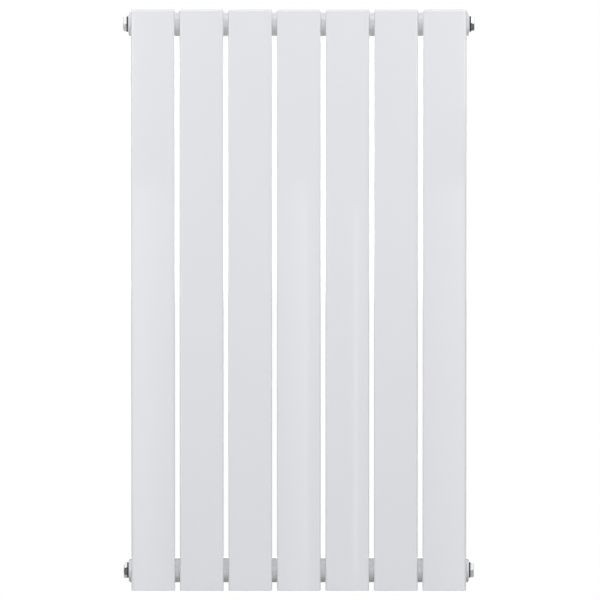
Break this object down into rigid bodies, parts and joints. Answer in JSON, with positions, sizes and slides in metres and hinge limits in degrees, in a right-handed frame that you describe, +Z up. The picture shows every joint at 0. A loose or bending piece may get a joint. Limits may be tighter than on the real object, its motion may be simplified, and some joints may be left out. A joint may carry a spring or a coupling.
{
  "type": "flat panel radiator with air vent",
  "caption": "Upright hot-water radiator of flat vertical panels on round collectors, with plugs, an air vent and wall brackets.",
  "frame": {"origin": "on the wall plane, in the middle of the wall fixing slots, which is the radiator's middle seen from the front", "axes": "+Z up; +Y into the wall, so the panels face -Y; +X to the right as seen from the front"},
  "size_m": [0.536, 0.087, 0.9],
  "materials": {
    "white_coating": "satin white powder coat on steel",
    "bracket_coating": "white powder coat on pressed steel",
    "chrome": "bright chrome plate on brass",
    "brass": "plain turned brass",
    "rubber": "black sealing rubber",
    "nylon": "natural nylon"
  },
  "bodies": {
    "wall_brackets": {"wall_bracket_top_left": "bracket_coating", "bracket_pad_top_left": "nylon", "wall_bracket_top_right": "bracket_coating", "bracket_pad_top_right": "nylon", "wall_bracket_bottom_left": "bracket_coating", "bracket_pad_bottom_left": "nylon", "wall_bracket_bottom_right": "bracket_coating", "bracket_pad_bottom_right": "nylon"},
    "radiator": {"panel_tube_1": "white_coating", "panel_cap_top_1": "white_coating", "panel_cap_bottom_1": "white_coating", "panel_tube_2": "white_coating", "panel_cap_top_2": "white_coating", "panel_cap_bottom_2": "white_coating", "panel_tube_3": "white_coating", "panel_cap_top_3": "white_coating", "panel_cap_bottom_3": "white_coating", "panel_tube_4": "white_coating", "panel_cap_top_4": "white_coating", "panel_cap_bottom_4": "white_coating", "panel_tube_5": "white_coating", "panel_cap_top_5": "white_coating", "panel_cap_bottom_5": "white_coating", "panel_tube_6": "white_coating", "panel_cap_top_6": "white_coating", "panel_cap_bottom_6": "white_coating", "panel_tube_7": "white_coating", "panel_cap_top_7": "white_coating", "panel_cap_bottom_7": "white_coating", "collector_top": "white_coating", "collector_nipples_top": "white_coating", "collector_bottom": "white_coating", "collector_nipples_bottom": "white_coating", "tapping_bush_top_left": "white_coating", "hanger_lug_top_left": "white_coating", "plug_seal_top_left": "rubber", "blanking_plug_top_left": "chrome", "tapping_bush_top_right": "white_coating", "hanger_lug_top_right": "white_coating", "tapping_bush_bottom_left": "white_coating", "hanger_lug_bottom_left": "white_coating", "plug_seal_bottom_left": "rubber", "blanking_plug_bottom_left": "chrome", "tapping_bush_bottom_right": "white_coating", "hanger_lug_bottom_right": "white_coating", "plug_seal_bottom_right": "rubber", "blanking_plug_bottom_right": "chrome", "vent_body_seal": "rubber", "vent_body": "chrome"},
    "needle_travel": {"vent_needle_seal": "rubber"},
    "needle": {"vent_needle": "brass"}
  },
  "joints": [
    {"name": "radiator_lift", "type": "slide", "parent": "wall_brackets", "child": "radiator", "axis": [0, 0, 1], "range_m": [0, 0.016]},
    {"name": "bleed_travel", "type": "slide", "parent": "radiator", "child": "needle_travel", "axis": [1, 0, 0], "range_m": [0, 0.001]},
    {"name": "bleed_turn", "type": "hinge", "parent": "needle_travel", "child": "needle", "pos_m": [0.2603, -0.055, 0.4235], "axis": [1, 0, 0], "range_deg": [0, 360]}
  ],
  "couplings": [
    {"joint": "bleed_turn", "follows": "bleed_travel", "rad_per_m": 6283.2}
  ]
}
